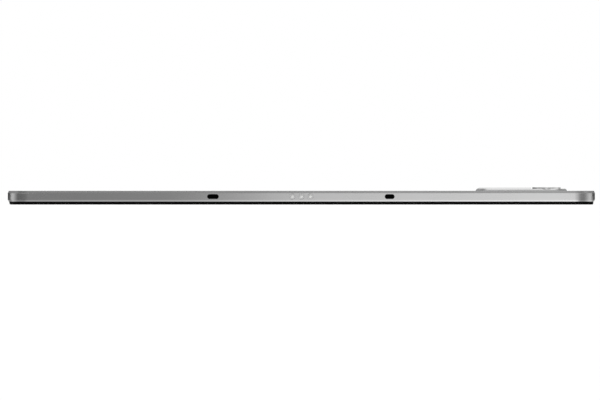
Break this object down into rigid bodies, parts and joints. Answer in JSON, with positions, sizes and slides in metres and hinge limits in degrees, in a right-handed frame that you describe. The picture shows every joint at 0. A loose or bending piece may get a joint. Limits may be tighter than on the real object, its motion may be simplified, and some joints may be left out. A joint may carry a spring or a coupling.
{
  "type": "tablet computer",
  "caption": "Thin aluminium tablet computer with a glass display, a raised rear camera island, press keys, a pull-out card tray and a docking edge with guide slots and contacts.",
  "frame": {"origin": "middle of the outer face of the cover glass, on which the tablet lies", "axes": "+X along the long side towards the power key and camera island, +Y from the docking edge to the far edge with the volume keys, +Z from the glass to the aluminium back"},
  "size_m": [0.2938, 0.191, 0.0088],
  "materials": {
    "anodised_aluminium": "fine bead-blasted and anodised, satin grey",
    "bright_aluminium": "anodised after polishing, bright satin",
    "polished_metal": "polished with a fine turned bevel",
    "cover_glass": "clear glass printed black on its inside",
    "lens_glass": "coated clear glass",
    "flash_plastic": "frosted diffuser",
    "led_phosphor": "matte",
    "radio_plastic": "fine matte",
    "black_plastic": "moulded, fine matte",
    "camera_black": "matte",
    "adhesive": "foam tape",
    "polyimide": "satin film",
    "display_glass": "polarising film on glass",
    "light_guide": "white reflector film",
    "battery_foil": "coated pouch foil",
    "circuit_board": "solder mask",
    "chip_resin": "moulded resin",
    "plain_steel": "rolled and plated",
    "thermal_rubber": "soft silicone",
    "graphite": "film, dark satin",
    "contact_plating": "nickel plated, polished",
    "dust_mesh": "woven",
    "white_resin": "moulded"
  },
  "bodies": {
    "tablet": {"rear_housing": "anodised_aluminium", "antenna_window": "radio_plastic", "wifi_antennas": "polyimide", "camera_island": "bright_aluminium", "lens_ring": "polished_metal", "lens_window": "lens_glass", "flash_lens": "flash_plastic", "flash_led": "led_phosphor", "rear_camera_module": "camera_black", "camera_ribbon": "polyimide", "cover_glass": "cover_glass", "bezel_frame": "black_plastic", "display_adhesive": "adhesive", "lcd_panel": "display_glass", "backlight_unit": "light_guide", "display_ribbon": "polyimide", "battery_cell_left": "battery_foil", "battery_cell_right": "battery_foil", "battery_tapes": "adhesive", "battery_board": "circuit_board", "battery_lead": "polyimide", "main_board": "circuit_board", "board_chips": "chip_resin", "shield_cans": "plain_steel", "thermal_pad": "thermal_rubber", "graphite_sheet": "graphite", "screws": "plain_steel", "usb_board": "circuit_board", "usb_c_shell": "plain_steel", "usb_c_tongue": "black_plastic", "board_link_ribbon": "polyimide", "dock_ribbon": "polyimide", "contact_base": "radio_plastic", "contact_pins": "contact_plating", "guide_socket_left": "black_plastic", "guide_socket_right": "black_plastic", "dock_magnets": "plain_steel", "speaker_upper_left": "black_plastic", "speaker_lower_left": "black_plastic", "speaker_upper_right": "black_plastic", "speaker_lower_right": "black_plastic", "speaker_drivers": "plain_steel", "speaker_meshes": "dust_mesh", "microphones": "contact_plating", "front_camera": "camera_black", "front_ribbon": "polyimide", "light_sensor": "chip_resin", "power_switch": "chip_resin", "volume_switches": "chip_resin", "key_brackets": "plain_steel", "card_reader": "plain_steel"},
    "power_key": {"power_button": "anodised_aluminium", "power_plunger": "white_resin"},
    "volume_up_key": {"volume_up_button": "anodised_aluminium", "volume_up_plunger": "white_resin"},
    "volume_down_key": {"volume_down_button": "anodised_aluminium", "volume_down_plunger": "white_resin"},
    "tray": {"card_tray": "anodised_aluminium"},
    "lens": {"lens_barrel": "camera_black"}
  },
  "joints": [
    {"name": "power_press", "type": "slide", "parent": "tablet", "child": "power_key", "axis": [-1, 0, 0], "range_m": [0, 0.0003], "stiffness_N_per_m": 4000},
    {"name": "volume_up_press", "type": "slide", "parent": "tablet", "child": "volume_up_key", "axis": [0, -1, 0], "range_m": [0, 0.0003], "stiffness_N_per_m": 4000},
    {"name": "volume_down_press", "type": "slide", "parent": "tablet", "child": "volume_down_key", "axis": [0, -1, 0], "range_m": [0, 0.0003], "stiffness_N_per_m": 4000},
    {"name": "tray_slide", "type": "slide", "parent": "tablet", "child": "tray", "axis": [-1, 0, 0], "range_m": [0, 0.02]},
    {"name": "lens_focus", "type": "slide", "parent": "tablet", "child": "lens", "axis": [0, 0, 1], "range_m": [0, 0.0003], "stiffness_N_per_m": 130}
  ]
}
